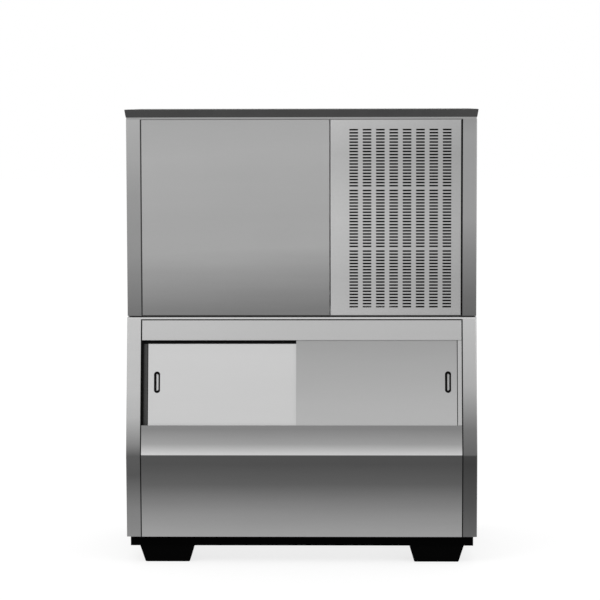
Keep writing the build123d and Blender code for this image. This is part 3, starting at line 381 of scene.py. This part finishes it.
# The bin's rear panel, floor pan and top frame: galvanised sheet behind and below, and a
# folded stainless frame whose front edge is the bright ledge under the head.
def spangled(name, value):
    """Galvanised sheet: grey spangle cells of slightly different brightness."""

    def look(place):
        cells = place.node("TexVoronoi", {"Vector": place, "Scale": 70.0}, out="Color")
        cell = along_axis(cells, "X")
        dirt = noise(place, 5.0, 4.0)
        return {
            "Base Color": tinted(place, grey(value), 0.8 + cell * 0.2 + dirt * 0.2),
            "Roughness": 0.35 + cell * 0.2,
        }

    return coating(name, look, {"Metallic": 1.0})


galvanised = spangled("galvanised", 168)
dress(galvanised, "bin_rear_panel", "bin_floor_pan")
dress(steel("ledge_steel", [(0.8, 196), (0.9, 204)], rough=0.25), "bin_top_frame")


# The liner: white vacuum-formed plastic with a soft gloss, foam behind it, and the drain
# socket of the same plastic.
def glossed(name, colour, rough=0.25, cloudy=0.06):
    """Smooth moulded plastic: slow ripples and a slightly cloudy colour."""

    def look(place):
        ripple = noise(place, 14.0, 2.0)
        return {
            "Base Color": tinted(place, colour, (1 - cloudy / 2) + ripple * cloudy),
            "Roughness": rough - 0.05 + ripple * 0.1,
            "Normal": raised(place, ripple, 0.0006, 0.4),
        }

    return coating(name, look, {"Specular IOR Level": 0.4})


white_plastic = glossed("white_plastic", (0.68, 0.69, 0.69))
dress(white_plastic, "bin_liner", "bin_drain")


# The door surround and tracks: black and dark grey plastic sections that the doors run in.
# The left jamb closes the gap behind the left door and is painted with the shade of that
# recess, black where the post's shadow falls; the right one is a bright angle.
black_plastic = moulded("black_plastic", (0.004,) * 3, specular=0.04)
track_plastic = moulded("track_plastic", grey(66), rough=0.5, specular=0.15)
dress(black_plastic, "door_surround", "upper_track")
dress(track_plastic, "lower_track")
jamb_start, jamb_width = -0.5525, 0.0145


def painted_jamb_shade(place):
    """Painted shade: black towards the post, where its shadow falls, and dark grey at the
    door, with a fine pebble.
    """
    inward = (along_axis(place, "X") - jamb_start) * (1 / jamb_width)
    pebbles = noise(place, 900.0, 2.0)
    return {
        "Base Color": place.node("ValToRGB", {"Fac": inward}, stops=[
            (0.0, (0.0015,) * 3), (0.12, (0.04,) * 3), (0.35, (0.065,) * 3),
        ]),
        "Roughness": pebbles * 0.1 + 0.45,
        "Normal": raised(place, pebbles, pebble_depth),
    }


dress(coating("shaded_jamb_plastic", painted_jamb_shade, {"Specular IOR Level": 0.1}), "left_jamb")
dress(steel("jamb_steel", [(0.48, 176), (0.77, 178)], rough=0.3), "right_jamb")


# The doors: flat stainless slabs, each with its own painted reflection. The left one runs
# behind and is painted paler; the right one runs in front and is painted darker towards its
# top. Each has an oblong black finger pull sunk in its outer end.
left_door = steel(
    "left_door_steel", [(0.47, 197), (0.77, 199)], grain=0.02, drift=0.02, speckle=0.01,
)
right_door = steel(
    "right_door_steel", [(0.47, 177), (0.56, 174), (0.77, 158)], grain=0.03, speckle=0.02,
)
dress(left_door, "left_door")
dress(right_door, "right_door")
dress(black_plastic, "left_door_pull", "right_door_pull")
lean = math.radians(10.76)
up_slope = np.array([0, math.sin(lean), math.cos(lean)])
off_slope = np.array([0, -math.cos(lean), math.sin(lean)])
bezel_band, bezel_rise, bezel_lap = 0.0082, 0.0008, 0.0006
bezel_turns, bezel_facets = 49, 7


def corners(node):
    """The places of a node's vertices, one row each."""
    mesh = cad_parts[node].data
    places = np.empty(len(mesh.vertices) * 3)
    mesh.vertices.foreach_get("co", places)
    return places.reshape(-1, 3)


def bezel(name, pull):
    """An oblong rim: a half-round section carried round two half circles and two straights.
    A point is the pull's middle, plus the oblong's outline grown by the lap and shrunk by
    half the band, plus band/2 times cos(angle) outwards and the rise times sin(angle) off
    the slope."""
    places = corners(pull)
    across, up, off = places[:, 0], places @ up_slope, places @ off_slope
    radius = (across.max() - across.min() - bezel_band) / 2 + bezel_lap
    straight = (up.max() - up.min() - across.max() + across.min()) / 2
    turn = np.linspace(0, 2 * math.pi, bezel_turns)[:, None]
    outward = np.cos(turn) * [1, 0, 0] + np.sin(turn) * up_slope
    ends = np.where(np.sin(turn) >= 0, straight, -straight) * up_slope
    middle = np.array([(across.max() + across.min()) / 2, 0, 0])
    middle = middle + (up.max() + up.min()) / 2 * up_slope + off.max() * off_slope
    angle = np.linspace(0, math.pi, bezel_facets)[None, :, None]
    outline = (middle + ends)[:, None, :] + radius * outward[:, None, :]
    rim = bezel_band / 2 * np.cos(angle) * outward[:, None, :]
    rim = rim + bezel_rise * np.sin(angle) * off_slope
    made = lay(name, (outline + rim)[None], wrap=True)
    made.data.materials.append(black_plastic)
    return made


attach(bezel("left_pull_bezel", "left_door_pull"), "left_door")
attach(bezel("right_pull_bezel", "right_door_pull"), "right_door")


# The header over the doors: a shallow stainless tray whose painted reflection is a shade
# darker to the right, with a thin black seal along its upper edge.
header_steel = steel("header_steel", [(0.77, 181), (0.85, 183)], fade=-0.1, speckle=0.03)
dress(header_steel, "header_panel")


bead_facets = 9


def bead(name, start, end, across, out, width, rise, skin=black_plastic):
    """A strip with a half-round face: its section is width/2 times cos(angle) across and the
    rise times sin(angle) out, carried from start to end and shrunk to a point at both."""
    start, end, across, out = [
        np.asarray(value, float) for value in (start, end, across, out)
    ]
    angle = np.linspace(0, math.pi, bead_facets)[:, None]
    section = width / 2 * np.cos(angle) * across + rise * np.sin(angle) * out
    along = np.array([0, 0, 1, 1])[:, None, None]
    size = np.array([0, 1, 1, 0])[:, None, None]
    strip = start + along * (end - start) + size * section
    made = lay(name, strip[None], wrap=True)
    made.data.materials.append(skin)
    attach(made, "cabinet")


strip_gap, strip_rise = 0.002, 0.0006
header_seal_width = 0.0026
header_low, header_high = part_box("header_panel")
header_face = (corners("header_panel") @ off_slope).max() * off_slope
header_edge = (corners("header_panel") @ up_slope).max() * up_slope + header_face
bead("header_seal", header_edge + [header_low.x + strip_gap, 0, 0],
     header_edge + [header_high.x - strip_gap, 0, 0],
     up_slope, off_slope, header_seal_width, strip_rise)


# Black sealant fills the upright seams between the bin's front and its two side posts, and
# also paints the shade in these gaps. It follows the fold, from the toe up to the crease and
# from there up the slope to the ledge.
seam_inset, seam_width, seam_aside = 0.001, 0.0034, 0.002
toe_band = 0.002
apron_places = corners("front_apron")
crease = apron_places[apron_places[:, 1].argmin()] * [0, 1, 1]
toe = apron_places[apron_places[:, 2] < apron_places[:, 2].min() + toe_band]
toe = toe[toe[:, 1].argmin()] * [0, 1, 1]
ledge_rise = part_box("bin_left_side")[1].z - crease[2] - strip_gap
ledge = crease + up_slope * ledge_rise / up_slope[2]
toe_rise = (crease - toe) / np.linalg.norm(crease - toe)
off_toe = np.array([0, -toe_rise[2], toe_rise[1]])
for side, label in ((-1, "left"), (1, "right")):
    seam = np.array([side * (abs(header_low.x) + seam_aside), 0, 0])
    on_toe, on_slope = seam - off_toe * seam_inset, seam - off_slope * seam_inset
    bead(f"{label}_toe_seam", on_toe + toe, on_toe + crease,
         (1, 0, 0), off_toe, seam_width, strip_rise)
    bead(f"{label}_slope_seam", on_slope + crease, on_slope + ledge,
         (1, 0, 0), off_slope, seam_width, strip_rise)


# The gasket between head and bin: a dark grey strip of closed-cell foam with a fine grain,
# pressed flat by the head's weight.
foam_rubber = moulded("foam_rubber", (0.055,) * 3, rough=0.8, specular=0.05, pebble=500.0)
dress(foam_rubber, "head_gasket")


# The head's side panels and plain front: brushed stainless like the bin's, with a painted
# reflection of the room's floor that makes them darker lower down; the right side is painted
# darker than the left. Its rear, pan and bulkhead are galvanised.
head_left = [(0.86, 114), (0.99, 132), (1.07, 143), (1.28, 150), (1.41, 162), (1.54, 170)]
head_right = [(0.86, 102), (0.92, 107), (1.08, 132), (1.20, 151), (1.49, 153), (1.54, 147)]
dress(steel("head_left_steel", head_left), "head_left_side")
dress(steel("head_right_steel", head_right), "head_right_side")
# The plain front's painted reflection slants darker towards the lower right and wavers
plain = [(0.86, 121), (0.94, 138), (1.08, 165), (1.20, 165), (1.42, 170), (1.54, 166)]
plain_steel = steel(
    "plain_steel", plain, drift=0.09, slant=0.06, middle=-0.35, waver=0.03, speckle=0.03,
)
dress(plain_steel, "head_front_panel")
dress(galvanised, "head_rear_panel", "head_base_pan", "bulkhead")


# The louvred panel: stainless of a coarser grain, pierced with eight columns of slots in
# three groups. The sheet over each slot is rolled inwards, and shade is painted on its faces
# that look up or down, so the slots look black. Its painted reflection varies over the height
# and fades darker to the right. A black seal closes the panel's right edge, and a dark grey
# seam the plain panel's left edge.
louvred = [(0.86, 171), (0.99, 168), (1.07, 174), (1.2, 179), (1.42, 168), (1.54, 177)]
louvre_steel = steel("louvre_steel", louvred, grain=0.08, drift=0.06, rough=0.36,
                     speckle=0.10, fade=-0.55, middle=0.34, painted_edge_shade=0.9)
dress(louvre_steel, "louvre_panel")
head_low, head_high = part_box("louvre_panel")
slot_columns, slot_groups, slot_rows = 8, 3, 19
slot_pitch_x, slot_pitch_z, group_pitch = 0.0463, 0.0108, 0.211
slot_length, slot_height, slot_centre, lowest_slot = 0.030, 0.0056, 0.344, 0.029
lip_radius, lip_steps, lip_wall, lip_depth, lip_play = 0.003, 4, 0.0006, 0.0009, 0.0004
column = (np.arange(slot_columns) - (slot_columns - 1) / 2) * slot_pitch_x + slot_centre
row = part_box("head_left_side")[0].z + lowest_slot + slot_height + (
    np.arange(slot_groups)[:, None] * group_pitch + np.arange(slot_rows) * slot_pitch_z
).ravel()
lip_x, lip_z = [grid.ravel()[:, None, None] for grid in np.meshgrid(column, row)]
bend = np.linspace(0, math.pi / 2, lip_steps + 1)[None, :, None]
reach = np.array([-0.5, 0.5])[None, None, :] * (slot_length - lip_play)
# A quarter circle inwards and up from each slot's upper edge, drawn along the slot
lips = np.stack(np.broadcast_arrays(
    lip_x + reach,
    head_low.y + lip_depth + lip_radius * np.sin(bend),
    lip_z + lip_wall / 2 + lip_radius * (1 - np.cos(bend)),
), axis=-1)
slot_lips = lay("slot_lips", lips)
wall = slot_lips.modifiers.new("wall", "SOLIDIFY")
wall.thickness = lip_wall
wall.offset = 0.0
slot_lips.data.materials.append(louvre_steel)
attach(slot_lips, "cabinet")
panel_seal_aside, panel_seal_width, panel_seal_rise = 0.0006, 0.0066, 0.0008
seal_x = head_high.x + panel_seal_aside
bead("panel_seal", (seal_x, head_low.y, head_low.z + strip_gap),
     (seal_x, head_low.y, head_high.z - strip_gap),
     (1, 0, 0), (0, -1, 0), panel_seal_width, panel_seal_rise)
post_seam_aside, post_seam_inset, post_seam_width = 0.0018, 0.0012, 0.0030
post_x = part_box("head_front_panel")[0].x - post_seam_aside
post_y = head_low.y + post_seam_inset
bead("post_seam", (post_x, post_y, head_low.z), (post_x, post_y, head_high.z),
     (1, 0, 0), (0, -1, 0), post_seam_width, strip_rise, skin=foam_rubber)


# The top rail and cover: a stainless rail ties the panels, and the flared lid over it is
# pressed sheet in satin dark grey paint.
dress(steel("rail_steel", [(1.5, 150), (1.6, 156)]), "head_top_rail")
cover_paint = enamelled("cover_paint", grey(66), rough=0.5, specular=0.12, patchy=0.4)
dress(cover_paint, "top_cover")


# The rear fixings: plated pan-head screws in rows down both sides, through the side panels'
# folded returns into the two rear panels.
def turned(name, profile, centres, axis, sides=16):
    """Shapes turned on a lathe: profile is (radius, height) along the axis, set at each
    centre. A point is the centre plus radius times a circle plus height times the axis."""
    axis = np.asarray(axis, float)
    off_axis = [0.31, 0.52, 0.79]
    side = np.cross(axis, off_axis)
    side /= np.linalg.norm(side)
    other = np.cross(axis, side)
    angle = np.linspace(0, 2 * math.pi, sides, endpoint=False)
    circle = np.cos(angle)[:, None] * side + np.sin(angle)[:, None] * other
    profile = np.asarray(profile, float)
    ring = profile[:, 0, None, None] * circle + profile[:, 1, None, None] * axis
    return lay(name, np.asarray(centres, float)[:, None, None, :] + ring, wrap=True)


screw_profile = [
    (0, 0), (0.0042, 0), (0.0042, 0.0006), (0.0037, 0.0017), (0.0024, 0.0024), (0, 0.0027),
]
screws_in_row, screw_margin, screw_inset = 6, 0.03, 0.008
heights = np.concatenate([
    np.linspace(low.z + screw_margin, high.z - screw_margin, screws_in_row)
    for low, high in (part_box("bin_rear_panel"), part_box("head_rear_panel"))
])
screw_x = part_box("head_rear_panel")[1].x - screw_inset
rear_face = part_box("head_left_side")[1].y
centres = [(side * screw_x, rear_face, height) for side in (-1, 1) for height in heights]
rear_screws = turned("rear_screws", screw_profile, centres, (0, 1, 0))
screw_steel = steel("screw_steel", [(0.0, 170), (1.6, 170)], grain=0.02)
rear_screws.data.materials.append(screw_steel)
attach(rear_screws, "cabinet")


# The condenser: dusty black-lacquered fins between tube sheets. Behind it a galvanised
# shroud and strap carry the black motor and its aluminium fan blade.
fins_per_metre = 400.0


def fins_with_gap_shade(place):
    """Close fins across the block, with painted shade in the gaps between them, and dust in
    soft patches.
    """
    fins = place.maths("PINGPONG", along_axis(place, "X") * fins_per_metre, 1.0)
    dust = noise(place, 18.0, 4.0)
    return {
        "Base Color": tinted(place, (0.008,) * 3, 0.4 + fins * 0.8 + dust * 0.5),
        "Roughness": 0.5 + dust * 0.3,
        "Normal": raised(place, fins, 0.0008),
    }


coil_finish = coating("condenser_fins", fins_with_gap_shade, {"Metallic": 0.4, "Specular IOR Level": 0.1})
dress(coil_finish, "condenser_coil")
dress(galvanised, "fan_shroud", "fan_bracket")
blade_aluminium = steel("blade_aluminium", [(0.9, 138), (1.5, 150)], drift=0.1, rough=0.4)
dress(blade_aluminium, "fan_blade")
motor_enamel = enamelled("motor_enamel", (0.03, 0.03, 0.033), specular=0.3)
dress(motor_enamel, "fan_motor")


# The electrics: a galvanised control box with a black toggle switch in its front, and an
# empty black gland for the mains cable in the rear panel.
dress(galvanised, "control_box")
dress(black_plastic, "cable_gland", "toggle_switch")


# The compressor: a pressed steel shell in black enamel on rubber mounts, and the bright
# drawn-copper lines and drier that join it to the coils.
compressor_enamel = enamelled(
    "compressor_enamel", (0.008, 0.008, 0.009), specular=0.3, rough=0.35,
)
dress(compressor_enamel, "compressor")
dress(foam_rubber, "compressor_grommets")


def drawn(place):
    """Drawn copper, clouded with darker handling marks."""
    marks = noise(place, 40.0, 4.0)
    return {
        "Base Color": place.node("ValToRGB", {"Fac": marks}, stops=[
            (0.3, (0.42, 0.17, 0.09)), (0.7, (0.72, 0.36, 0.22)),
        ]),
        "Roughness": 0.2 + marks * 0.25,
    }


copper = coating("copper", drawn, {"Metallic": 1.0})
dress(copper, "discharge_line", "liquid_line", "expansion_line", "suction_line")
dress(copper, "evaporator_coil", "filter_drier")


# The ice side: a nickel-plated mould on moulded white cheeks, with its curtain, water
# tubes, trough, pump, float and valve.
def plated(place):
    """Satin nickel: a warm grey with lime-scale clouds."""
    scale = noise(place, 22.0, 5.0)
    return {
        "Base Color": tinted(place, (0.52, 0.50, 0.46), 0.8 + scale * 0.3),
        "Roughness": 0.22 + scale * 0.25,
    }


dress(coating("nickel", plated, {"Metallic": 1.0}), "evaporator_plate")
dress(white_plastic, "evaporator_frame", "water_trough", "water_distributor")
dress(white_plastic, "float_arm", "float_valve", "trough_drain")
dress(glossed("curtain_plastic", (0.5, 0.54, 0.57)), "water_curtain")
dress(glossed("tube_plastic", (0.62, 0.65, 0.66)), "riser_tube")
dress(motor_enamel, "water_pump")


# The water inlet: a turned brass stub through the rear panel, with a fine male thread on
# its outer end.
def turned_brass(place):
    """Turned brass with a dull, uneven tarnish."""
    tarnish = noise(place, 60.0, 3.0)
    return {
        "Base Color": tinted(place, (0.62, 0.46, 0.22), 0.75 + tarnish * 0.5),
        "Roughness": 0.2 + tarnish * 0.3,
    }


brass = coating("brass", turned_brass, {"Metallic": 1.0})
dress(brass, "water_inlet")
thread_pitch, thread_depth, thread_radius, thread_root = 0.0015, 0.0004, 0.0071, 0.0066
thread_points, thread_start = 20, 0.0004
inlet_low, inlet_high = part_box("water_inlet")
inlet_x, inlet_z = (inlet_low.x + inlet_high.x) / 2, (inlet_low.z + inlet_high.z) / 2
turns = np.arange(thread_points)
crests = np.stack([
    thread_radius + thread_depth * (turns % 2),
    -thread_pitch / 2 * turns[::-1] - thread_start,
], axis=1)
ends = [[(thread_root, crests[end, 1])] for end in (0, -1)]
profile = np.concatenate([ends[0], crests, ends[1]])
inlet_end = [(inlet_x, inlet_high.y, inlet_z)]
inlet_thread = turned("inlet_thread", profile, inlet_end, (0, 1, 0), sides=32)
inlet_thread.data.materials.append(brass)
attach(inlet_thread, "cabinet")
